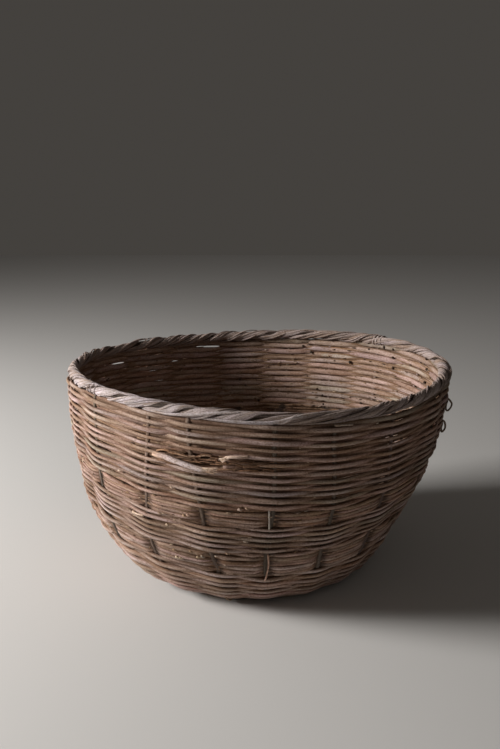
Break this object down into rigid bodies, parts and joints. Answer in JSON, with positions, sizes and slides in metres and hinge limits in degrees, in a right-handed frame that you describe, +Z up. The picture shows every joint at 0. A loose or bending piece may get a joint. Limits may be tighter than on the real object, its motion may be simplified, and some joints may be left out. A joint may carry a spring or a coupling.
{
  "type": "woven bowl basket",
  "caption": "Round, deep bowl-shaped basket woven from thin rods over upright stakes, with a wrapped rope-like rim, for holding and carrying produce.",
  "frame": {"origin": "middle of the outline, on the ground plane the basket stands on", "axes": "+Z up through the open mouth; -Y faces the viewer of the picture; +X to the right"},
  "size_m": [0.4646, 0.454, 0.2555],
  "materials": {
    "stake_rods": "weathered, matt",
    "woven_rods": "weathered, matt",
    "rim_strips": "weathered, matt"
  },
  "bodies": {
    "root": {"base_binding": "woven_rods", "base_course_01": "woven_rods", "base_course_02": "woven_rods", "base_course_03": "woven_rods", "base_course_04": "woven_rods", "base_edge_rod": "woven_rods", "broken_rod_end": "woven_rods", "long_rod_01": "stake_rods", "long_rod_02": "stake_rods", "long_rod_03": "stake_rods", "long_rod_04": "stake_rods", "long_rod_05": "stake_rods", "long_rod_06": "stake_rods", "long_rod_07": "stake_rods", "long_rod_08": "stake_rods", "long_rod_09": "stake_rods", "long_rod_10": "stake_rods", "rim_hoop": "rim_strips", "rim_wrap_a": "rim_strips", "rim_wrap_b": "rim_strips", "wall_course_01": "woven_rods", "wall_course_02": "woven_rods", "wall_course_03": "woven_rods", "wall_course_04": "woven_rods", "wall_course_05": "woven_rods", "wall_course_06": "woven_rods", "wall_course_07": "woven_rods", "wall_course_08": "woven_rods", "wall_course_09": "woven_rods", "wall_course_10": "woven_rods", "wall_course_11": "woven_rods", "wall_course_12": "woven_rods", "wall_course_13": "woven_rods", "wall_course_14": "woven_rods", "wall_course_15": "woven_rods", "wall_course_16": "woven_rods", "wall_course_17": "woven_rods", "wall_course_18": "woven_rods", "wall_course_19": "woven_rods", "wall_course_20": "woven_rods"}
  },
  "joints": []
}
